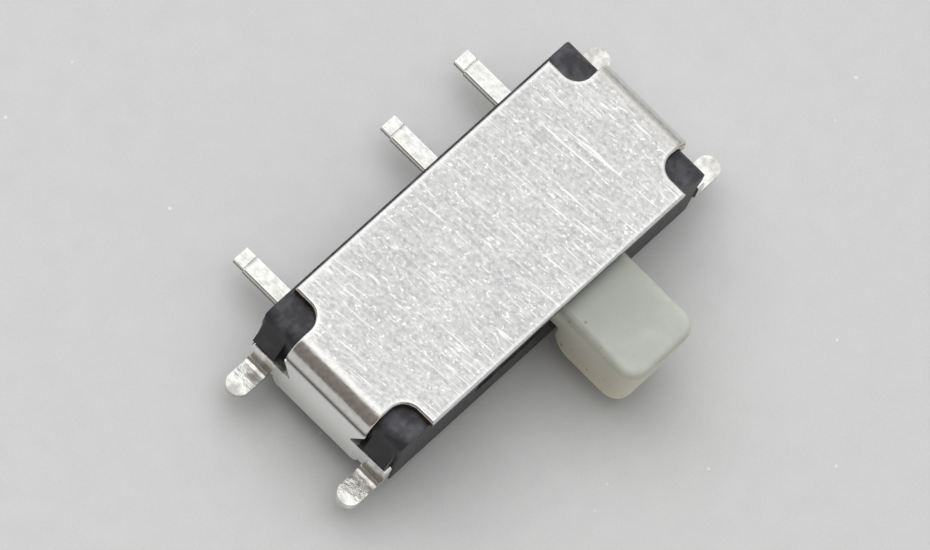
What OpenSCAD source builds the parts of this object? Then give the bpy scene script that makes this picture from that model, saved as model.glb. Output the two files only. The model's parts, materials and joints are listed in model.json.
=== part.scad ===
// Surface-mount slide switch: one pole, two positions, side knob.
// +X runs along the body, -Y is the knob side, +Z is up out of the cover.
// The origin is the centre of the base's underside, the seating plane.

/* [Body] */
// Length of the base moulding along X
base_l = 6.24; // [6.1:0.01:7.5]
// Width of the base moulding along Y
body_w = 2.7; // [2.5:0.05:3.3]
// Height from the seating plane to the top of the cover
body_h = 1.4; // [1.3:0.05:1.8]
// Clearance between the base and the cover that wraps it
cover_gap = 0.02; // [0.01:0.01:0.04]
// Distance that the cover sits off centre, towards the knob
cover_shift = 0.05; // [0:0.01:0.06]
// Radius of the base's upright corners
corner_r = 0.06; // [0.03:0.01:0.12]
// Depth of the step under each upper corner of the base
corner_step = 0.04; // [0.02:0.01:0.06]
// Thickness of the floor that the contact pads lie in
floor_t = 0.22; // [0.2:0.01:0.26]
// Width of the wall behind and in front of the slider
wall_t = 0.45; // [0.4:0.01:0.5]

/* [Locating posts] */
// Diameter of each locating post
post_d = 0.75; // [0.6:0.05:0.8]
// Length of each post below the seating plane
post_l = 0.5; // [0.4:0.05:0.8]
// Distance between the two posts
post_pitch = 3.0; // [2.5:0.1:3.5]
// Chamfer round the tip of each post
post_chamfer = 0.08; // [0.04:0.01:0.1]

/* [Cover] */
// Thickness of the sheet
sheet_t = 0.13; // [0.1:0.01:0.15]
// Distance from the cover's end to the inner edge of a corner notch
notch_l = 0.69; // [0.66:0.01:0.9]
// Width of the end flap between two corner notches
flap_w = 1.58; // [1.4:0.02:1.7]
// Radius in the inner corner of each notch
notch_r = 0.27; // [0.1:0.01:0.28]
// Outer radius of the bend from the top into the flap
bend_r = 0.34; // [0.25:0.01:0.36]
// Radius of the rolled upper edges of the sheet
edge_r = 0.045; // [0.02:0.005:0.05]
// Depth of the line that the bending tool leaves under each bend
crease_d = 0.015; // [0.01:0.005:0.02]
// Height at which the flap starts to narrow
flap_low_z = 0.94; // [0.85:0.01:0.95]
// Width of the neck between the flap and its foot arm
neck_w = 1.2; // [1.0:0.05:1.3]
// Height of the upper edge of the foot arm
arm_top_z = 0.56; // [0.5:0.01:0.65]
// Gap between the arm and the neck's sloping edge
relief_gap = 0.04; // [0.02:0.01:0.06]
// Height of the lower edge between the two feet
skirt_z = 0.1; // [0.05:0.01:0.15]
// Width of each foot
foot_w = 0.37; // [0.25:0.01:0.42]
// Distance from the arm's outer end to the foot
foot_inset = 0.02; // [0.02:0.01:0.06]
// Distance from the flap's outer face to the tip of a foot
foot_reach = 0.58; // [0.45:0.01:0.8]
// Inner radius of the bend above each foot
foot_bend_r = 0.1; // [0.06:0.01:0.14]

/* [Terminals] */
// Distance between neighbouring contact pads, the same as the travel
pad_pitch = 1.5; // [1.4:0.05:1.6]
// Length of a contact pad along X
pad_l = 0.9; // [0.7:0.05:1.0]
// Width of a contact pad along Y
pad_w = 0.9; // [0.7:0.05:1.0]
// Thickness of the terminal strip
leg_t = 0.12; // [0.1:0.01:0.14]
// Width of a terminal leg
leg_w = 0.3; // [0.25:0.01:0.4]
// Distance that a leg stands out of the back wall
leg_reach = 1.04; // [0.8:0.02:1.5]
// Distance from the leg's tip to its coined cut line
coin_inset = 0.2; // [0.15:0.01:0.3]
// Depth and half width of the coined cut line
coin_d = 0.02; // [0.01:0.005:0.03]

/* [Slider] */
// Width of the knob along X
knob_w = 1.35; // [1.2:0.05:1.5]
// Height of the knob's underside above the seating plane
knob_z = 0.1; // [0.05:0.01:0.2]
// Height of the knob, which hangs down outside the front wall
knob_h = 1.07; // [0.9:0.01:1.1]
// Height of the neck that passes through the slot in that wall
neck_h = 0.5; // [0.4:0.01:0.6]
// Gap between the front wall and the back of the knob
knob_gap = 0.12; // [0.05:0.01:0.15]
// Distance that the knob stands out of the front wall
knob_reach = 1.52; // [1.2:0.02:3.0]
// Radius of the edges round the knob's top
knob_edge_r = 0.11; // [0.06:0.01:0.2]
// Radius of the edges round the knob's underside
knob_low_r = 0.05; // [0.03:0.01:0.15]
// Radius of the two outer corners, seen from above
knob_corner_r = 0.28; // [0.15:0.01:0.35]
// Distance that the outer face leans back between its top and its lower edge
knob_lean = 0.1; // [0.02:0.01:0.15]
// Length of the carriage inside the base
carriage_l = 3.0; // [2.9:0.05:3.1]
// Running clearance round the slider
slide_gap = 0.05; // [0.04:0.01:0.06]
// Height of the pocket that holds the contact clip
pocket_h = 0.37; // [0.35:0.01:0.4]

/* [Contact clip] */
// Thickness of the clip's spring strip
clip_t = 0.07; // [0.06:0.01:0.08]
// Width of the clip
clip_w = 0.6; // [0.5:0.05:0.65]
// Distance between the two pegs that hold the clip
peg_pitch = 0.5; // [0.45:0.05:0.55]
// Diameter of each peg
peg_d = 0.18; // [0.14:0.01:0.2]
// Radius of the rounded contact at the end of each arm
contact_r = 0.12; // [0.1:0.01:0.13]
// Clearance between a contact and its pad, and round each peg
contact_gap = 0.01; // [0.01:0.005:0.02]
// Height of the two low ridges that the contacts click over
ridge_rise = 0.02; // [0.015:0.005:0.025]

/* [Hidden] */
$fn = 48;
// Overshoot that keeps cutting faces off the faces they cut
eps = 0.01;

travel = pad_pitch;
slider_x = travel / 2;
base_h = body_h - sheet_t - cover_gap;
cover_w = body_w;
outer_x = base_l / 2 + cover_gap + sheet_t;
notch_x = outer_x - notch_l;
bend_x = outer_x - bend_r;
cavity_y = body_w / 2 - wall_t;
carriage_y = cavity_y - slide_gap;
carriage_z = floor_t + ridge_rise + contact_gap;
carriage_top = base_h - slide_gap;
knob_top = knob_z + knob_h;
neck_z = knob_top - neck_h;
sill_z = neck_z - slide_gap;
cavity_x = carriage_l / 2 + travel / 2 + slide_gap;
slot_x = knob_w / 2 + travel / 2 + slide_gap;
knob_y = body_w / 2 + knob_reach;
knob_back_y = body_w / 2 + knob_gap;
neck_root_y = carriage_y - wall_t / 2;
arm_y = cover_w / 2 - cover_shift;
foot_z = sheet_t + foot_bend_r;
foot_y = arm_y - foot_inset - foot_w / 2;
leg_tip_y = body_w / 2 + leg_reach;
// The legs keep the pads' pitch but stand half a pitch off, as
// the board's pads do: a wide gap, then a narrow one
leg_xs = [-1.5 * pad_pitch, 0.5 * pad_pitch, 1.5 * pad_pitch];
pad_xs = [-pad_pitch, 0, pad_pitch];
riser_y = body_w / 2 - wall_t / 2;
link_w = leg_w * 0.8;

// Straight cutter that rounds an edge running along X.
// The edge lies on the X axis, with the material below it and at -Y.
module edge_cut_x(length) {
  rotate([90, 0, 90])
    linear_extrude(length)
      difference() {
        translate([-edge_r, -edge_r])
          square(edge_r + eps);
        translate([-edge_r, -edge_r])
          circle(edge_r);
      }
}

// Flat rounded rectangle centred on the origin
module rounded_rect(length, width, r) {
  square([length - 2 * r, width], center = true);
  square([length, width - 2 * r], center = true);
  for (sx = [-1, 1], sy = [-1, 1])
    translate([sx * (length / 2 - r), sy * (width / 2 - r)])
      circle(r);
}

function unit(v) = v / norm(v);

// A convex outline that has its own radius at each corner
module rounded_outline(points, radii) {
  n = len(points);
  to_last = [for (i = [0:n - 1]) unit(points[(i + n - 1) % n] - points[i])];
  to_next = [for (i = [0:n - 1]) unit(points[(i + 1) % n] - points[i])];
  half = [for (i = [0:n - 1]) acos(to_last[i] * to_next[i]) / 2];
  polygon([
    for (i = [0:n - 1], side = [to_last[i], to_next[i]])
      points[i] + side * radii[i] / tan(half[i])
  ]);
  for (i = [0:n - 1])
    translate(points[i] + unit(to_last[i] + to_next[i]) * radii[i] / sin(half[i]))
      circle(radii[i]);
}

// Both ends, or both sides, of what is symmetrical
module both_ends() {
  children();
  mirror([1, 0, 0]) children();
}

module both_sides() {
  children();
  mirror([0, 1, 0]) children();
}

// ---- base ----

module locating_post() {
  translate([post_pitch / 2, 0, 0])
    rotate_extrude()
      polygon([
        [0, 0],
        [post_d / 2, 0],
        [post_d / 2, post_chamfer - post_l],
        [post_d / 2 - post_chamfer, -post_l],
        [0, -post_l]
      ]);
}

// The block under the upper corners is a little smaller all round
module base_block() {
  step_z = base_h * 0.75;
  linear_extrude(base_h)
    rounded_rect(base_l - 2 * corner_step, body_w, corner_r);
  translate([0, 0, step_z])
    linear_extrude(base_h - step_z)
      rounded_rect(base_l, body_w, corner_r);
}

// Rounds the base's upper end edge to follow the inside of the bend
module bend_relief() {
  inner_r = bend_r - sheet_t - cover_gap;
  width = body_w + 2 * eps;
  translate([bend_x, width / 2, body_h - bend_r])
    rotate([90, 0, 0])
      linear_extrude(width)
        difference() {
          square(bend_r);
          circle(inner_r);
        }
}

// Shoulder beside the flap, which slopes out over an arm of the cover
// until it is nearly flush with the sheet
module shoulder() {
  inner_y = flap_w / 2 + cover_shift + relief_gap;
  outer_y = body_w / 2 - corner_r;
  translate([0, outer_y, 0])
    rotate([90, 0, 0])
      linear_extrude(outer_y - inner_y)
        polygon([
          [bend_x, arm_top_z + cover_gap],
          [outer_x - cover_gap, arm_top_z + cover_gap],
          [base_l / 2, body_h - bend_r],
          [bend_x, body_h - bend_r]
        ]);
}

// Low ridges between the pads, which the contacts click over
module detent_ridge(x) {
  ridge_r = 0.15;
  translate([x, 0, floor_t])
    intersection() {
      translate([0, clip_w / 2, ridge_rise - ridge_r])
        rotate([90, 0, 0])
          cylinder(r = ridge_r, h = clip_w);
      translate([-ridge_r, -clip_w / 2, -eps])
        cube([2 * ridge_r, clip_w, 1]);
    }
}

module base() {
  color([0.17, 0.17, 0.19]) {
    difference() {
      base_block();
      translate([-cavity_x, -cavity_y, floor_t])
        cube([2 * cavity_x, 2 * cavity_y, body_h]);
      translate([-slot_x, -body_w, sill_z])
        cube([2 * slot_x, body_w - cavity_y + eps, body_h]);
      for (i = [0:2])
        terminal_form(i);
      both_ends()
        bend_relief();
    }
    both_ends() {
      locating_post();
      both_sides()
        shoulder();
    }
    for (x = [-pad_pitch / 2, pad_pitch / 2])
      detent_ridge(x);
  }
}

// ---- terminals ----

// Pad in the floor, link through the back wall, leg at board level
module terminal_form(i) {
  px = pad_xs[i];
  lx = leg_xs[i];
  low = min(px, lx) - link_w / 2;
  high = max(px, lx) + link_w / 2;
  pad_z = floor_t - leg_t;
  translate([px - pad_l / 2, -pad_w / 2, pad_z])
    cube([pad_l, pad_w, leg_t]);
  translate([px - link_w / 2, 0, pad_z])
    cube([link_w, riser_y + leg_t, leg_t]);
  translate([low, riser_y - leg_t, pad_z])
    cube([high - low, 2 * leg_t, leg_t]);
  translate([lx - leg_w / 2, riser_y, 0])
    cube([leg_w, leg_t, floor_t]);
  translate([lx, riser_y, 0])
    leg();
}

// A leg from the riser to its tip, with small sheared-edge chamfers,
// a coined cut line across it and a slightly narrower end
module leg() {
  shear = leg_t * 0.15;
  length = leg_tip_y - riser_y;
  difference() {
    translate([0, length, 0])
      rotate([90, 0, 0])
        linear_extrude(length)
          polygon([
            [-leg_w / 2, 0],
            [leg_w / 2, 0],
            [leg_w / 2, leg_t - shear],
            [leg_w / 2 - shear, leg_t],
            [shear - leg_w / 2, leg_t],
            [-leg_w / 2, leg_t - shear]
          ]);
    translate([-leg_w, length - coin_inset, leg_t - coin_d])
      rotate([45, 0, 0])
        cube([2 * leg_w, 2 * coin_d, 2 * coin_d]);
    for (side = [-1, 1])
      translate([side * (leg_w / 2 + coin_inset - coin_d), length - coin_inset / 2, 0])
        cube([2 * coin_inset, coin_inset + eps, 1], center = true);
  }
}

module terminal(i) {
  color([0.86, 0.86, 0.84])
    terminal_form(i);
}

module terminal_left() {
  terminal(0);
}

module terminal_common() {
  terminal(1);
}

module terminal_right() {
  terminal(2);
}

// ---- cover ----

// Material that fills one inner notch corner
module notch_fillet() {
  translate([notch_x, flap_w / 2])
    difference() {
      translate([-eps, -eps])
        square(notch_r + eps);
      translate([notch_r, notch_r])
        circle(notch_r);
    }
}

module notch_edge_cut() {
  translate([notch_x + notch_r, flap_w / 2 + notch_r, body_h - edge_r])
    rotate([0, 0, 180])
      rotate_extrude(angle = 90)
        difference() {
          translate([notch_r - eps, 0])
            square(edge_r + eps);
          translate([notch_r + edge_r, 0])
            circle(edge_r);
        }
}

module top_plate() {
  difference() {
    translate([0, 0, body_h - sheet_t])
      linear_extrude(sheet_t) {
        square([2 * notch_x, cover_w], center = true);
        square([2 * bend_x, flap_w], center = true);
        both_ends() both_sides()
          notch_fillet();
      }
    both_sides()
      translate([-notch_x - eps, cover_w / 2, body_h])
        edge_cut_x(2 * (notch_x + eps));
    both_ends() both_sides() {
      notch_edge_cut();
      translate([notch_x + notch_r, flap_w / 2, body_h])
        edge_cut_x(bend_x - notch_x - notch_r + eps);
      translate([notch_x, cover_w / 2 + eps, body_h])
        rotate([0, 0, -90])
          edge_cut_x(cover_w / 2 - flap_w / 2 - notch_r + eps);
    }
  }
}

// Section across the flap: outer face at u = 0, with rolled edges
module flap_section() {
  translate([-sheet_t, -flap_w / 2])
    square([sheet_t - edge_r, flap_w]);
  translate([-sheet_t, edge_r - flap_w / 2])
    square([sheet_t, flap_w - 2 * edge_r]);
  for (side = [-1, 1])
    translate([-edge_r, side * (flap_w / 2 - edge_r)])
      circle(edge_r);
}

// Half of the outline below the flap, seen from the end
module arm_outline() {
  difference() {
    union() {
      polygon([
        [-eps, flap_low_z],
        [flap_w / 2, flap_low_z],
        [neck_w / 2, arm_top_z + relief_gap],
        [neck_w / 2, arm_top_z],
        [arm_y, arm_top_z],
        [arm_y, foot_z],
        [-eps, foot_z]
      ]);
      translate([-eps, skirt_z])
        square([foot_y - foot_w / 2 - 2 * relief_gap, foot_z]);
    }
    translate([foot_y - foot_w / 2 - 2 * relief_gap - sheet_t, skirt_z])
      difference() {
        translate([0, -eps])
          square(sheet_t + eps);
        translate([0, sheet_t])
          circle(sheet_t);
      }
    translate([arm_y, arm_top_z])
      rotate(180)
        difference() {
          translate([-eps, -eps])
            square(relief_gap + eps);
          translate([relief_gap, relief_gap])
            circle(relief_gap);
        }
  }
}

module foot() {
  translate([outer_x + foot_bend_r, foot_y - foot_w / 2, foot_z])
    rotate([90, 0, 180])
      rotate_extrude(angle = -90)
        translate([foot_bend_r, 0])
          square([sheet_t, foot_w]);
  translate([outer_x + foot_bend_r, foot_y, 0])
    linear_extrude(sheet_t) {
      translate([-eps / 2, -foot_w / 2])
        square([foot_reach - foot_bend_r - foot_w / 2 + eps / 2, foot_w]);
      translate([foot_reach - foot_bend_r - foot_w / 2, 0])
        circle(foot_w / 2);
    }
}

// Round-bottomed line across the flap's outer face
module crease_cut() {
  translate([outer_x + crease_d, flap_w, body_h - bend_r - 2 * crease_d])
    rotate([90, 0, 0])
      cylinder(r = 2 * crease_d, h = 2 * flap_w);
}

module end_flap() {
  translate([bend_x, 0, body_h - bend_r])
    rotate([90, 0, 0])
      rotate_extrude(angle = 90)
        translate([bend_r, 0])
          flap_section();
  difference() {
    translate([outer_x, 0, flap_low_z])
      linear_extrude(body_h - bend_r - flap_low_z)
        flap_section();
    crease_cut();
  }
  both_sides() {
    translate([outer_x - sheet_t, 0, 0])
      rotate([90, 0, 90])
        linear_extrude(sheet_t)
          arm_outline();
    foot();
  }
}

module cover() {
  color([0.8, 0.8, 0.79])
    translate([0, -cover_shift, 0]) {
      top_plate();
      both_ends()
        end_flap();
    }
}

// ---- slider ----

// The knob is where three rounded outlines meet: from the end, from
// above and from the side. The side outline is stepped, because only
// the neck passes through the slot.
module knob() {
  length = knob_y - neck_root_y;
  half_w = knob_w / 2;
  intersection() {
    translate([0, -neck_root_y, 0])
      rotate([90, 0, 0])
        linear_extrude(length)
          rounded_outline(
            [[-half_w, knob_z], [half_w, knob_z], [half_w, knob_top], [-half_w, knob_top]],
            [knob_low_r, knob_low_r, knob_edge_r, knob_edge_r]
          );
    translate([0, knob_corner_r / 2 - (knob_y + neck_root_y) / 2, 0])
      linear_extrude(body_h)
        rounded_rect(knob_w, length + knob_corner_r, knob_corner_r);
    translate([-half_w, 0, 0])
      rotate([90, 0, 90])
        linear_extrude(knob_w) {
          rounded_outline(
            [
              [-knob_back_y, knob_z],
              [-knob_back_y, knob_top],
              [-knob_y, knob_top],
              [-knob_y + knob_lean, knob_z]
            ],
            [knob_low_r, knob_edge_r, knob_edge_r, knob_low_r]
          );
          translate([-knob_back_y - knob_corner_r, neck_z])
            square([knob_back_y + knob_corner_r - neck_root_y, neck_h]);
        }
  }
}

module carriage() {
  height = carriage_top - carriage_z;
  pocket_x = carriage_l / 2 - wall_t / 2;
  pocket_y = clip_w / 2 + slide_gap;
  translate([0, 0, carriage_z])
    difference() {
      linear_extrude(height)
        rounded_rect(carriage_l, 2 * carriage_y, corner_r);
      translate([-pocket_x, -pocket_y, -eps])
        cube([2 * pocket_x, 2 * pocket_y, pocket_h + eps]);
    }
}

module slider() {
  color([0.86, 0.87, 0.83])
    translate([slider_x, 0, 0]) {
      carriage();
      knob();
      for (side = [-1, 1])
        translate([side * peg_pitch / 2, 0, carriage_z + pocket_h - 2 * clip_t])
          cylinder(d = peg_d, h = 2 * clip_t + eps);
    }
}

// ---- contact clip ----

// A flat strip of the clip's thickness along a list of points
module strip(points) {
  for (i = [0:len(points) - 2]) {
    step = points[i + 1] - points[i];
    translate(points[i])
      rotate(atan2(step[1], step[0]))
        translate([0, -clip_t / 2])
          square([norm(step), clip_t]);
  }
  for (i = [1:len(points) - 1])
    translate(points[i])
      circle(clip_t / 2, $fn = 24);
}

// One arm, seen from the knob side: bar, slope, rounded contact, tip
module arm_side() {
  bar_z = carriage_z + pocket_h - clip_t / 2;
  ring_r = contact_r - clip_t / 2;
  contact_x = pad_pitch / 2;
  contact_z = floor_t + contact_gap + contact_r;
  bar_end = peg_pitch / 2 + peg_d;
  bow = [
    for (a = [-140:20:-40])
      [contact_x + ring_r * cos(a), contact_z + ring_r * sin(a)]
  ];
  tip = [contact_x + contact_r, contact_z + ring_r];
  strip(concat([[-eps, bar_z], [bar_end, bar_z]], bow, [tip]));
}

module contact_clip() {
  slit_w = clip_w / 8;
  slit_x = peg_pitch / 2 + peg_d;
  color([0.8, 0.62, 0.36])
    translate([slider_x, 0, 0])
      difference() {
        both_ends()
          translate([0, clip_w / 2, 0])
            rotate([90, 0, 0])
              linear_extrude(clip_w)
                arm_side();
        both_ends() {
          translate([slit_x, -slit_w / 2, 0])
            cube([pad_pitch, slit_w, body_h]);
          translate([peg_pitch / 2, 0, 0])
            cylinder(d = peg_d + 2 * contact_gap, h = body_h);
        }
      }
}

base();
cover();
slider();
contact_clip();
terminal_left();
terminal_common();
terminal_right();
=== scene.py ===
# Looks of a miniature surface-mount slide switch: camera, floor, soft light
# and one procedural material for each kind of surface.
# Lengths are metres. MM turns a size in millimetres into metres.
import json
import math

import bmesh
import bpy
from mathutils import Matrix, Vector


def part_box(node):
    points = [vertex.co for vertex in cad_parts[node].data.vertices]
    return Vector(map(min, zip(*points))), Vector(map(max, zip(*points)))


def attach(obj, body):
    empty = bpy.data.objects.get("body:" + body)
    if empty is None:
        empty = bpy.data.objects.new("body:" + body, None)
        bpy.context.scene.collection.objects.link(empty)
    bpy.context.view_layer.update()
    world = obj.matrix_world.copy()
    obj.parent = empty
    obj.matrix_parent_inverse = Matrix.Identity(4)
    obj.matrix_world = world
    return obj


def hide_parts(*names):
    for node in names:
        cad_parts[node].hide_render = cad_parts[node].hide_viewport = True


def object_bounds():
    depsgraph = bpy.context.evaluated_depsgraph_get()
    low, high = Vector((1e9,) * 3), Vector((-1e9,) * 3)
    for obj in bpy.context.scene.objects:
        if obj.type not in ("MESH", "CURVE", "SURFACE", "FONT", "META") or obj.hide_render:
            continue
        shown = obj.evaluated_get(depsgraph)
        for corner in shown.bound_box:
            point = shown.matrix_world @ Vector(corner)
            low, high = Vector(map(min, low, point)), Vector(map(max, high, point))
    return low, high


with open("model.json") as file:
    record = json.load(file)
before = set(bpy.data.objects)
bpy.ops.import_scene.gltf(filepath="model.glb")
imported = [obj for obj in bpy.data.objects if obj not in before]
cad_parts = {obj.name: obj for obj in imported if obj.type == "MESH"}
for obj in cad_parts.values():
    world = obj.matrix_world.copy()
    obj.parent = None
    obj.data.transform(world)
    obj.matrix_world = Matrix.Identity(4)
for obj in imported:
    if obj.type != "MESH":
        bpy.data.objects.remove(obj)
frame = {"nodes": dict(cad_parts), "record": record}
cad_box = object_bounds()

MM = 0.001
nodes = frame["nodes"]

# ---- camera, from the knob side and the left end, looking steeply down ----

VIEW_AZIMUTH = -70.73
VIEW_ELEVATION = 65.65
VIEW_ROLL = 26.84
VIEW_DISTANCE = 200 * MM
AIM = Vector((-0.352, -0.047, 0.7)) * MM
# Focal length and width of the sensor, in the camera's own millimetres
LENS = 556
SENSOR_WIDTH = 36
NEAREST_SEEN = 10 * MM
FARTHEST_SEEN = 10.0


def direction(azimuth, elevation):
    """Unit vector from the object; azimuth 0 is -Y and 90 is +X, in degrees."""
    turn = math.radians(azimuth)
    rise = math.radians(elevation)
    level = math.cos(rise)
    return Vector((math.sin(turn) * level, -math.cos(turn) * level, math.sin(rise)))


def looking_back(towards, roll=0.0):
    """Rotation whose Z axis points towards the viewer, with X level before the roll."""
    right = Vector((0, 0, 1)).cross(towards).normalized()
    up = towards.cross(right)
    axes = Matrix((right, up, towards)).transposed().to_4x4()
    return axes @ Matrix.Rotation(math.radians(roll), 4, "Z")


def add_camera():
    data = bpy.data.cameras.new("camera")
    data.lens = LENS
    data.sensor_width = SENSOR_WIDTH
    data.clip_start = NEAREST_SEEN
    data.clip_end = FARTHEST_SEEN
    camera = bpy.data.objects.new("camera", data)
    bpy.context.scene.collection.objects.link(camera)
    towards = direction(VIEW_AZIMUTH, VIEW_ELEVATION)
    place = Matrix.Translation(AIM + towards * VIEW_DISTANCE)
    camera.matrix_world = place @ looking_back(towards, VIEW_ROLL)
    bpy.context.scene.camera = camera


# ---- floor, light and surroundings ----

FLOOR_HALF = 0.6
KEY_AZIMUTH = 178
KEY_ELEVATION = 78
KEY_DISTANCE = 100 * MM
KEY_SIZE = 150 * MM
KEY_POWER = 0.1
# Surroundings from the -X side (0) over the zenith (0.5) to the +X side (1): a bright
# ceiling panel that ends sharply on the -X side
SKY_TONES = (
    (0.00, (0.20, 0.18, 0.16)),
    (0.28, (0.26, 0.24, 0.22)),
    (0.37, (1.15, 1.15, 1.15)),
    (0.50, (1.30, 1.30, 1.30)),
    (0.62, (1.15, 1.15, 1.15)),
    (0.70, (1.02, 1.02, 1.01)),
    (0.88, (0.92, 0.92, 0.91)),
    (1.00, (0.42, 0.41, 0.40)),
)
# Share of that from the -Y side (0) over the zenith (0.5) to the +Y side (1)
SKY_SHARES = (
    (0.00, 0.35),
    (0.30, 0.80),
    (0.50, 1.00),
    (0.70, 1.15),
    (0.85, 1.10),
    (1.00, 0.80),
)


def add_floor():
    z = cad_box[0].z
    signs = ((-1, -1), (1, -1), (1, 1), (-1, 1))
    corners = [(x * FLOOR_HALF, y * FLOOR_HALF, z) for x, y in signs]
    mesh = bpy.data.meshes.new("floor")
    mesh.from_pydata(corners, [], [(0, 1, 2, 3)])
    floor = bpy.data.objects.new("floor", mesh)
    bpy.context.scene.collection.objects.link(floor)
    return floor


def add_key_light():
    data = bpy.data.lights.new("key_light", "AREA")
    data.shape = "DISK"
    data.size = KEY_SIZE
    data.energy = KEY_POWER
    light = bpy.data.objects.new("key_light", data)
    bpy.context.scene.collection.objects.link(light)
    towards = direction(KEY_AZIMUTH, KEY_ELEVATION)
    place = Matrix.Translation(towards * KEY_DISTANCE)
    light.matrix_world = place @ looking_back(towards)
    light.visible_camera = False
    light.visible_glossy = False


def add_sky():
    """A world whose tone changes along X, and its strength along Y."""
    world = bpy.data.worlds.new("soft_studio")
    bpy.context.scene.world = world
    world.use_nodes = True
    tree = world.node_tree
    place = tree.nodes.new("ShaderNodeTexCoord")
    split = tree.nodes.new("ShaderNodeSeparateXYZ")
    tree.links.new(place.outputs["Generated"], split.inputs[0])
    shares = [(position, (share, share, share)) for position, share in SKY_SHARES]
    for name, values, socket in (("X", SKY_TONES, "Color"), ("Y", shares, "Strength")):
        spread = tree.nodes.new("ShaderNodeMapRange")
        spread.inputs["From Min"].default_value = -1
        ramp = tree.nodes.new("ShaderNodeValToRGB")
        stops = ramp.color_ramp.elements
        while len(stops) < len(values):
            stops.new(1)
        for stop, (position, colour) in zip(stops, values):
            stop.position = position
            stop.color = (*colour, 1)
        tree.links.new(split.outputs[name], spread.inputs["Value"])
        tree.links.new(spread.outputs[0], ramp.inputs[0])
        tree.links.new(ramp.outputs[0], tree.nodes["Background"].inputs[socket])


# ---- material helpers ----


class Surface:
    """A material with one Principled shader and short calls for its pattern nodes."""

    def __init__(self, name, **values):
        self.material = bpy.data.materials.new(name)
        self.material.use_nodes = True
        self.tree = self.material.node_tree
        self.shader = self.tree.nodes["Principled BSDF"]
        for socket, value in values.items():
            self.shader.inputs[socket.replace("_", " ")].default_value = value
        self.place = self.tree.nodes.new("ShaderNodeTexCoord").outputs["Object"]

    def link(self, source, node, socket):
        self.tree.links.new(source, node.inputs[socket])

    def drive(self, source, socket):
        """Feeds one input of the shader."""
        self.link(source, self.shader, socket)

    def cells_per_mm(self, x, y=None, z=None, turn=0.0):
        """Object coordinates, turned about Z, with this many cells per millimetre.

        Y and Z have as many as X where they aren't given."""
        node = self.tree.nodes.new("ShaderNodeMapping")
        node.vector_type = "TEXTURE"
        node.inputs["Scale"].default_value = [MM / (cells or x) for cells in (x, y, z)]
        node.inputs["Rotation"].default_value = (0, 0, math.radians(turn))
        self.link(self.place, node, "Vector")
        return node.outputs[0]

    def noise(self, place, detail=3, rough=0.5):
        node = self.tree.nodes.new("ShaderNodeTexNoise")
        node.inputs["Scale"].default_value = 1
        node.inputs["Detail"].default_value = detail
        node.inputs["Roughness"].default_value = rough
        self.link(place, node, "Vector")
        return node.outputs["Fac"]

    def dots(self, place, radius):
        """1 inside round dots scattered one to a cell, 0 outside. The radius is in cells."""
        node = self.tree.nodes.new("ShaderNodeTexVoronoi")
        node.inputs["Scale"].default_value = 1
        self.link(place, node, "Vector")
        return self.fade(node.outputs["Distance"], start=radius / 2, width=radius / 2)

    def remap(self, source, low, high, to_low=0, to_high=1):
        """Maps low..high to to_low..to_high and holds it there outside."""
        node = self.tree.nodes.new("ShaderNodeMapRange")
        ends = {"From Min": low, "From Max": high, "To Min": to_low, "To Max": to_high}
        for socket, value in ends.items():
            node.inputs[socket].default_value = value
        self.link(source, node, "Value")
        return node.outputs[0]

    def rise(self, source, start, width):
        """0 up to start, then rising to 1 over this width."""
        return self.remap(source, start, start + width)

    def fade(self, source, start, width):
        """1 up to start, then falling to 0 over this width."""
        return self.remap(source, start, start + width, 1, 0)

    def maths(self, operation, a, b=0):
        node = self.tree.nodes.new("ShaderNodeMath")
        node.operation = operation
        for i, value in enumerate((a, b)):
            if isinstance(value, (int, float)):
                node.inputs[i].default_value = value
            else:
                self.tree.links.new(value, node.inputs[i])
        return node.outputs[0]

    def product(self, first, *others):
        for other in others:
            first = self.maths("MULTIPLY", first, other)
        return first

    def mixed(self, *parts):
        """Sum of pairs, each a pattern and its share."""
        total = 0
        for pattern, share in parts:
            total = self.maths("ADD", total, self.product(pattern, share))
        return total

    def vector_maths(self, operation, a, b=None, output="Vector"):
        node = self.tree.nodes.new("ShaderNodeVectorMath")
        node.operation = operation
        for i, value in enumerate((a, b)):
            if isinstance(value, tuple):
                node.inputs[i].default_value = value
            elif value is not None:
                self.tree.links.new(value, node.inputs[i])
        return node.outputs[output]

    def axis(self, vector, name):
        node = self.tree.nodes.new("ShaderNodeSeparateXYZ")
        self.link(vector, node, 0)
        return node.outputs[name]

    def facing(self, name):
        """How squarely the surface faces along one axis, from 0 to 1."""
        normal = self.tree.nodes.new("ShaderNodeTexCoord").outputs["Normal"]
        return self.maths("ABSOLUTE", self.axis(normal, name))

    def raggedness(self, pattern, reach):
        """Moves an edge in and out with a pattern, by up to half of reach."""
        return self.product(self.maths("SUBTRACT", pattern, 0.5), reach)

    def blend(self, share, low, high):
        """Colour low where share is 0 and high where it is 1. Each is a colour or an output."""
        node = self.tree.nodes.new("ShaderNodeMix")
        node.data_type = "RGBA"
        self.tree.links.new(share, node.inputs["Factor"])
        for socket, value in (("A", low), ("B", high)):
            target = next(s for s in node.inputs if s.name == socket and s.type == "RGBA")
            if isinstance(value, tuple):
                target.default_value = (*value, 1)
            else:
                self.tree.links.new(value, target)
        return next(s for s in node.outputs if s.type == "RGBA")

    def bump(self, height, depth):
        """Relief of this depth in metres where height goes from 0 to 1."""
        node = self.tree.nodes.new("ShaderNodeBump")
        node.inputs["Distance"].default_value = depth
        self.link(height, node, "Height")
        self.drive(node.outputs["Normal"], "Normal")


# ---- materials: in each function, s is the surface that it makes ----

FLOOR_COLOUR = (0.46, 0.464, 0.464)


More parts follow.
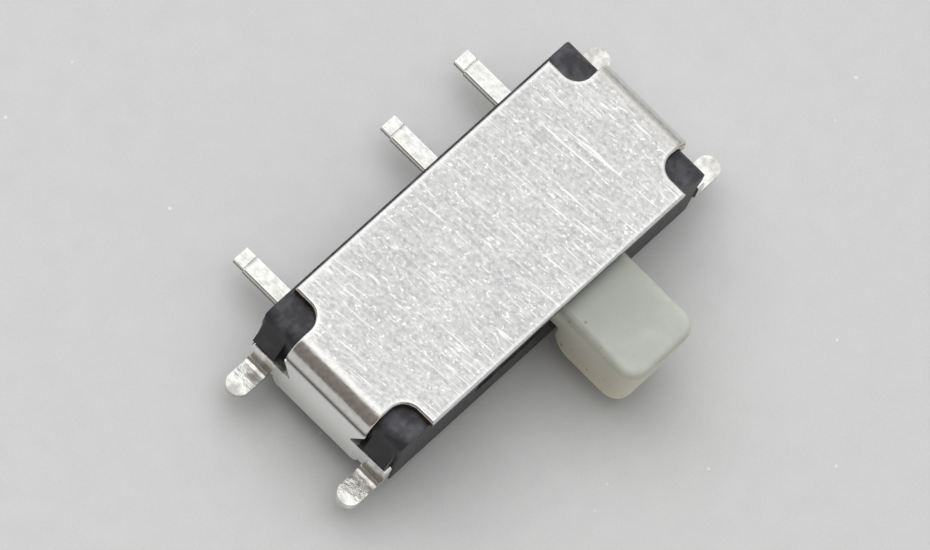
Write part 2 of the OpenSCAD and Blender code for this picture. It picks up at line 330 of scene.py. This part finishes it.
def floor_paper():
    s = Surface("floor_paper", Roughness=0.75)
    cloud = s.noise(s.cells_per_mm(3), detail=2)
    grain = s.noise(s.cells_per_mm(26), detail=3, rough=0.6)
    shade = s.mixed((cloud, 0.35), (grain, 0.65))
    dark, light = (tuple(share * c for c in FLOOR_COLOUR) for share in (0.955, 1.025))
    tone = s.blend(s.remap(shade, 0.35, 0.65), dark, light)
    specks = s.dots(s.cells_per_mm(1.3), radius=0.045)
    s.drive(s.blend(s.product(specks, 0.3), tone, (0.9, 0.9, 0.9)), "Base Color")
    return s.material


# Outline of the cover, as part.scad has it
COVER_SHIFT = 0.05 * MM
COVER_HALF = 1.35 * MM
COVER_TOP = 1.4 * MM
FLAP_X = 3.27 * MM
FLAP_HALF = 0.79 * MM
BEND_R = 0.34 * MM
BEND_START = FLAP_X - BEND_R
BEND_LOW = COVER_TOP - BEND_R
CREASE_Z = 1.03 * MM
NOTCH_X = FLAP_X - 0.69 * MM
NOTCH_R = 0.27 * MM
ROLLED = 0.045 * MM
ARM_TOP = 0.6 * MM

# Rolling marks: degrees by which they run off the Y axis
ROLLING_TURN = 4.7
# The painted highlight along the edges of the sheet: its full part and its soft one
RIM_FULL = 0.035 * MM
RIM_SOFT = 0.055 * MM
# Painted shade darkens the flap's face up to this height, and lifts over the next stretch
FLAP_SHADE_TOP = 0.15 * MM
FLAP_SHADE_SOFT = 0.5 * MM
# The painted shade along the crease: half its width where it is full, and where it ends
CREASE_SHADE_FULL = 0.01 * MM
CREASE_SHADE_END = 0.1 * MM
# Bare steel shows this close to the cut outline, and fades over the next stretch
CUT_NEAR = 0.004 * MM
CUT_SOFT = 0.006 * MM
# Distance past the flap's face at which the tin on the feet begins
TIN_START = 0.02 * MM


def cover_edges(s):
    """Distances in from the notched outline and from the long edges, both 0 or more on
    the sheet, and the place mirrored into one quarter of the cover."""
    middle = s.vector_maths("ADD", s.place, (0, COVER_SHIFT, 0))
    mirrored = s.vector_maths("ABSOLUTE", middle)
    corner = (NOTCH_X + NOTCH_R, FLAP_HALF + NOTCH_R, -1)
    inside = s.vector_maths("MAXIMUM", s.vector_maths("SUBTRACT", corner, mirrored), (0, 0, 0))
    from_notch = s.maths("SUBTRACT", s.vector_maths("LENGTH", inside, output="Value"), NOTCH_R)
    from_side = s.maths("SUBTRACT", COVER_HALF, s.axis(mirrored, "Y"))
    return from_notch, from_side, mirrored


def rolled_noise(s, across, along, detail=1, rough=0.5):
    """Noise with this many cells per millimetre across and along the rolling marks."""
    return s.noise(s.cells_per_mm(across, along, turn=ROLLING_TURN), detail, rough)


def plated_steel():
    s = Surface("plated_steel", Metallic=1)
    from_notch, from_side, mirrored = cover_edges(s)
    out = s.axis(mirrored, "X")
    height = s.axis(mirrored, "Z")
    wobble = s.noise(s.cells_per_mm(9), detail=2)
    edge = s.maths("MINIMUM", from_notch, from_side)
    edge = s.maths("ADD", edge, s.raggedness(wobble, reach=0.05 * MM))
    # Painted highlight in a band along the edges of the sheet
    rim_highlight = s.fade(edge, start=RIM_FULL, width=RIM_SOFT)
    bent = s.rise(out, start=BEND_START, width=0.06 * MM)
    flat = s.remap(bent, 0, 1, 1, 0.25)

    # Rolling marks across the width, over a mottled plate with painted glints
    long_marks = s.remap(rolled_noise(s, 21, 0.9), 0.67, 0.75)
    short_marks = s.remap(rolled_noise(s, 24, 3.2), 0.63, 0.74, 0, 0.85)
    marks = s.product(s.maths("MAXIMUM", long_marks, short_marks), flat)
    mottle = rolled_noise(s, 17, 13, detail=4, rough=0.65)
    brushed = rolled_noise(s, 17, 1.5, detail=3, rough=0.6)
    cloud = s.noise(s.cells_per_mm(0.8), detail=2)
    ground = s.mixed((mottle, 0.6), (brushed, 0.28), (cloud, 0.12))
    # Painted glints: small bright spots on the flat plate
    painted_glints = s.remap(rolled_noise(s, 26, 17), 0.6, 0.7)
    painted_glints = s.product(painted_glints, s.remap(wobble, 0.4, 0.6, 0.35, 1), flat)
    bright = (1, 1, 0.99)
    plate = s.blend(s.remap(ground, 0.38, 0.62), (0.48, 0.485, 0.49), (0.79, 0.79, 0.78))
    plate = s.blend(s.product(marks, 0.9), plate, bright)
    plate = s.blend(painted_glints, plate, bright)
    plate = s.blend(s.product(rim_highlight, 0.65), plate, (0.98, 0.98, 0.97))

    # The bend is burnished, and ends at the crease in a dark line of painted shade, above a
    # smooth face with painted shade towards its foot
    worn = s.blend(s.remap(mottle, 0.3, 0.7), (0.66, 0.65, 0.63), (0.86, 0.85, 0.83))
    face = s.fade(height, start=CREASE_Z, width=0.03 * MM)
    # Painted shade: the flap's face darker towards its foot
    flap_foot_shade = s.fade(height, start=FLAP_SHADE_TOP, width=FLAP_SHADE_SOFT)
    smooth = s.blend(flap_foot_shade, (1, 1, 0.98), (0.76, 0.76, 0.73))
    plate = s.blend(bent, plate, s.blend(face, worn, smooth))
    # Painted shade: a dark line along the crease
    from_crease = s.maths("ABSOLUTE", s.maths("SUBTRACT", height, CREASE_Z))
    crease_shade = s.product(s.remap(from_crease, CREASE_SHADE_FULL, CREASE_SHADE_END, 0.9, 0), bent)
    plate = s.blend(crease_shade, plate, (0.16, 0.14, 0.13))

    # The feet carry a lumpy coat of tin
    foot = s.rise(out, start=FLAP_X + TIN_START, width=0.06 * MM)
    lumps = s.noise(s.cells_per_mm(4.5), detail=4, rough=0.55)
    tin = s.blend(s.remap(lumps, 0.38, 0.6), (0.56, 0.55, 0.51), (0.92, 0.92, 0.89))
    plate = s.blend(foot, plate, tin)

    # Bare steel where the outline was cut
    under_roll = s.fade(height, start=COVER_TOP - ROLLED, width=0.2 * ROLLED)
    above_arms = s.rise(height, start=ARM_TOP, width=0.03 * MM)
    at_notch = s.fade(s.maths("ABSOLUTE", from_notch), start=CUT_NEAR, width=CUT_SOFT)
    notch_cut = s.product(at_notch, under_roll, above_arms)
    at_side = s.fade(from_side, start=CUT_NEAR, width=CUT_SOFT)
    side_cut = s.product(at_side, under_roll)
    rust = s.blend(s.remap(wobble, 0.4, 0.6), (0.22, 0.095, 0.055), (0.35, 0.185, 0.12))
    plate = s.blend(notch_cut, plate, rust)
    s.drive(s.blend(side_cut, plate, (0.3, 0.27, 0.25)), "Base Color")

    # The bend, the rim and the feet are smoother than the plate
    above_flap = s.rise(height, start=BEND_LOW - 0.02 * MM, width=0.02 * MM)
    on_bend = s.product(bent, above_flap)
    burnished = s.maths("MAXIMUM", s.maths("MAXIMUM", on_bend, rim_highlight), foot)
    rough = s.remap(mottle, 0.3, 0.7, 0.3, 0.4)
    s.drive(s.maths("SUBTRACT", rough, s.product(burnished, 0.15)), "Roughness")
    relief = s.mixed((marks, 0.12), (s.product(mottle, flat), 0.24), (lumps, foot))
    s.bump(relief, depth=0.016 * MM)
    return s.material


def black_moulding():
    s = Surface("black_moulding")
    grain = s.noise(s.cells_per_mm(14), detail=5, rough=0.6)
    tone = s.blend(s.remap(grain, 0.3, 0.7), (0.009, 0.009, 0.011), (0.026, 0.026, 0.031))
    # Pale scuffs with painted sheen: full on upper faces, only a little on walls
    scuffs = s.remap(s.noise(s.cells_per_mm(4.5), detail=4, rough=0.55), 0.45, 0.68, 0, 0.8)
    upward_sheen = s.remap(s.facing("Z"), 0.2, 0.7, 0.22, 1)
    tone = s.blend(s.product(scuffs, upward_sheen), tone, (0.075, 0.075, 0.086))
    s.drive(tone, "Base Color")
    s.drive(s.remap(grain, 0.3, 0.7, 0.42, 0.6), "Roughness")
    s.bump(grain, depth=0.005 * MM)
    return s.material


# Outline of the knob, as part.scad has it
KNOB_HALF = 0.675 * MM
KNOB_LOW = 0.1 * MM
KNOB_TOP = 1.17 * MM
KNOB_EDGE_R = 0.11 * MM
KNOB_LOW_R = 0.05 * MM
KNOB_CORNER_R = 0.28 * MM
KNOB_TIP = -2.87 * MM
KNOB_LEAN = 0.1 * MM
NECK_LOW = 0.67 * MM

# The knob's top is cool in tone above the first height, and below the other its sides carry
# painted light, a warm glow that lifts their shade
COOL_ABOVE = 1.12 * MM
WARM_BELOW = 0.95 * MM
# The painted glow is deepest below the first height and palest above the other
DEEP_BELOW = 0.2 * MM
PALE_ABOVE = 0.9 * MM
# Distances from the tip over which painted shade darkens the top towards the wall
SHADE_START = 0.4 * MM
SHADE_END = 1.4 * MM
# Dust lies on the knob's left side: thickest up to the first X, with none past the other
DUST_FULL = 0.17 * MM
DUST_NONE = 0.42 * MM


def white_moulding():
    s = Surface(
        "white_moulding",
        Roughness=0.42,
        Subsurface_Weight=0.9,
        Subsurface_Radius=(1.0, 0.92, 0.6),
        Subsurface_Scale=0.5 * MM,
    )
    height = s.axis(s.place, "Z")
    cloud = s.noise(s.cells_per_mm(2.2), detail=6, rough=0.7)
    top = s.blend(s.remap(cloud, 0.35, 0.65), (0.345, 0.36, 0.335), (0.405, 0.42, 0.39))
    # Painted shade on the knob's top near the wall
    wall_shade = s.remap(s.axis(s.place, "Y"), KNOB_TIP + SHADE_START, KNOB_TIP + SHADE_END)
    top = s.blend(wall_shade, top, (0.285, 0.295, 0.27))
    # Painted light: sides lighter and warmer than the top, a glow that lifts their shade
    deep_glow = s.remap(height, DEEP_BELOW, PALE_ABOVE, 1, 0)
    painted_side_glow = s.blend(deep_glow, (0.61, 0.61, 0.54), (0.71, 0.67, 0.53))
    tone = s.blend(s.remap(height, WARM_BELOW, COOL_ABOVE, 1, 0), top, painted_side_glow)
    dust = s.dots(s.cells_per_mm(5), radius=0.16)
    dusty = s.remap(s.axis(s.place, "X"), DUST_FULL, DUST_NONE, 0.7, 0)
    s.drive(s.blend(s.product(dust, dusty), tone, (0.14, 0.13, 0.09)), "Base Color")
    s.bump(s.noise(s.cells_per_mm(9), detail=4), depth=0.003 * MM)
    return s.material


# Spacing of the grid that the legs stand on, and half the width of a leg
LEG_PITCH = 1.5 * MM
LEG_HALF = 0.15 * MM


def plated_brass():
    s = Surface("plated_brass", Metallic=1)
    grain = s.noise(s.cells_per_mm(13, 9), detail=5, rough=0.65)
    tone = s.blend(s.remap(grain, 0.38, 0.6), (0.68, 0.68, 0.65), (0.97, 0.97, 0.95))

    # Painted highlights along the edges; the sides show the brass below the plating
    from_leg = s.maths("SUBTRACT", s.axis(s.place, "X"), LEG_PITCH / 2)
    from_middle = s.maths("PINGPONG", from_leg, LEG_PITCH / 2)
    from_middle = s.maths("ADD", from_middle, s.raggedness(grain, reach=0.08 * MM))
    # Painted highlight along each leg's long edges
    edge = s.remap(from_middle, 0.7 * LEG_HALF, 0.85 * LEG_HALF, 0, 0.8)
    tone = s.blend(edge, tone, (1, 1, 0.98))
    low = s.fade(s.axis(s.place, "Z"), start=0.05 * MM, width=0.03 * MM)
    sheared = s.product(s.remap(s.facing("X"), 0.8, 0.95, 0, 0.8), low)
    s.drive(s.blend(sheared, tone, (0.16, 0.1, 0.07)), "Base Color")
    s.drive(s.remap(grain, 0.3, 0.7, 0.2, 0.4), "Roughness")
    s.bump(grain, depth=0.005 * MM)
    return s.material


def spring_bronze():
    s = Surface("spring_bronze", Metallic=1, Roughness=0.25)
    streaks = s.noise(s.cells_per_mm(2, 20, 20), detail=4)
    tone = s.blend(s.remap(streaks, 0.35, 0.65), (0.66, 0.42, 0.2), (0.8, 0.56, 0.3))
    s.drive(tone, "Base Color")
    s.bump(streaks, depth=0.002 * MM)
    return s.material


# ---- slider, with rounding that follows its knob's corners ----

# Distance by which the new knob stays inside the CAD one
KNOB_SLACK = 0.002 * MM
# Radius of the lower back corners: nearly none at the neck, and the most at the underside
BACK_R_LEAST = 0.01 * MM
BACK_R_GAIN = 0.5 * MM
# Distance that the new knob reaches past the wall's face, and overlaps what is kept there
IN_SLOT = 0.05 * MM
OVERLAP = 0.01 * MM
# Room round what is kept of the CAD slider
ROOM = 1 * MM
SHARP_ANGLE = math.radians(35)


def block(low, high):
    """Closed mesh of a block between two corners."""
    shape = bmesh.new()
    bmesh.ops.create_cube(shape, size=1)
    for vertex in shape.verts:
        vertex.co = [(a + b) / 2 + c * (b - a) for a, b, c in zip(low, high, vertex.co)]
    mesh = bpy.data.meshes.new("block")
    shape.to_mesh(mesh)
    shape.free()
    return mesh


def quarter_turn(steps):
    """Sine and cosine at even steps from 0 to 90 degrees."""
    for i in range(steps + 1):
        angle = math.pi / 2 * i / steps
        yield math.sin(angle), math.cos(angle)


def knob_levels():
    """Height and inset of each outline of the knob, from its underside to its top."""
    low = KNOB_LOW + KNOB_SLACK
    top = KNOB_TOP - KNOB_SLACK
    for sine, cosine in quarter_turn(steps=4):
        yield low + KNOB_LOW_R * (1 - cosine), KNOB_SLACK + KNOB_LOW_R * (1 - sine)
    yield NECK_LOW, KNOB_SLACK
    for sine, cosine in quarter_turn(steps=8):
        yield top - KNOB_EDGE_R * (1 - sine), KNOB_SLACK + KNOB_EDGE_R * (1 - cosine)


def half_outline(z, inset, back_y, tip_y):
    """The knob's outline right of its middle at one height, from the wall to the tip."""
    below_neck = max((NECK_LOW - z) / (NECK_LOW - KNOB_LOW), 0)
    back_radius = BACK_R_LEAST + BACK_R_GAIN * below_neck
    for sine, cosine in quarter_turn(steps=8):
        x = KNOB_HALF - inset - back_radius * (1 - sine)
        yield x, back_y - back_radius * (1 - cosine)
    face = KNOB_TIP + KNOB_LEAN * (KNOB_TOP - z) / (KNOB_TOP - KNOB_LOW)
    radius = KNOB_CORNER_R - inset
    for sine, cosine in quarter_turn(steps=10):
        x = KNOB_HALF - inset - radius * (1 - cosine)
        yield x, max(tip_y, face) + inset + radius * (1 - sine)


def knob_block(middle_x, back_y, tip_y):
    """Closed mesh of the knob, from one outline above the other."""
    shape = bmesh.new()
    rings = []
    for z, inset in knob_levels():
        right = list(half_outline(z, inset, back_y, tip_y))
        left = [(-x, y) for x, y in reversed(right)]
        rings.append([shape.verts.new((middle_x + x, y, z)) for x, y in right + left])
    for lower, upper in zip(rings, rings[1:]):
        for i in range(len(lower)):
            j = (i + 1) % len(lower)
            shape.faces.new((lower[i], upper[i], upper[j], lower[j]))
    shape.faces.new(rings[0])
    shape.faces.new(reversed(rings[-1]))
    bmesh.ops.recalc_face_normals(shape, faces=shape.faces[:])
    mesh = bpy.data.meshes.new("knob")
    shape.to_mesh(mesh)
    shape.free()
    return mesh


def combined(first, second, operation):
    """Exact boolean of two closed meshes, as a new mesh."""
    pieces = [bpy.data.objects.new("operand", mesh) for mesh in (first, second)]
    for piece in pieces:
        bpy.context.scene.collection.objects.link(piece)
    step = pieces[0].modifiers.new("combine", "BOOLEAN")
    step.operation = operation
    step.solver = "EXACT"
    step.object = pieces[1]
    bpy.context.view_layer.update()
    seen = pieces[0].evaluated_get(bpy.context.evaluated_depsgraph_get())
    mesh = bpy.data.meshes.new_from_object(seen)
    for piece in pieces:
        bpy.data.objects.remove(piece)
    return mesh


def slider_mesh():
    """The CAD slider, cut outside the wall to the new knob's outlines."""
    low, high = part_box("slider")
    wall_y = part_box("base")[0].y
    in_slot_y = wall_y + IN_SLOT
    room = Vector((ROOM, ROOM, ROOM))
    knob = knob_block((low.x + high.x) / 2, in_slot_y, low.y)
    kept = block((low.x - ROOM, in_slot_y - OVERLAP, low.z - ROOM), high + room)
    cad = nodes["slider"].data.copy()
    # The booleans work in millimetres, where their tolerances suit so small a piece
    for mesh in (cad, knob, kept):
        mesh.transform(Matrix.Scale(1 / MM, 4))
    mesh = combined(cad, combined(knob, kept, "UNION"), "INTERSECT")
    mesh.transform(Matrix.Scale(MM, 4))
    return mesh


def add_slider(material):
    """Replaces the CAD slider with one whose roundings are carried round its corners."""
    mesh = slider_mesh()
    mesh.shade_smooth()
    mesh.set_sharp_from_angle(angle=SHARP_ANGLE)
    mesh.materials.clear()
    mesh.materials.append(material)
    piece = bpy.data.objects.new("slider_moulding", mesh)
    bpy.context.scene.collection.objects.link(piece)
    piece.modifiers.new("flat_faces", "WEIGHTED_NORMAL").keep_sharp = True
    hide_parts("slider")
    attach(piece, "actuator")


def dress_nodes():
    """Gives each CAD node the material that its row in the record names."""
    makers = {
        "black_moulding": black_moulding,
        "plated_steel": plated_steel,
        "white_moulding": white_moulding,
        "spring_bronze": spring_bronze,
        "plated_brass": plated_brass,
    }
    made = {name: make() for name, make in makers.items()}
    for row in frame["record"]["subparts"]:
        node = nodes[row["node"]]
        node.data.materials.clear()
        node.data.materials.append(made[row["material_slot"]])
    return made


bpy.context.scene.view_settings.view_transform = "Standard"
add_camera()
add_floor().data.materials.append(floor_paper())
add_key_light()
add_sky()
finishes = dress_nodes()
add_slider(finishes["white_moulding"])
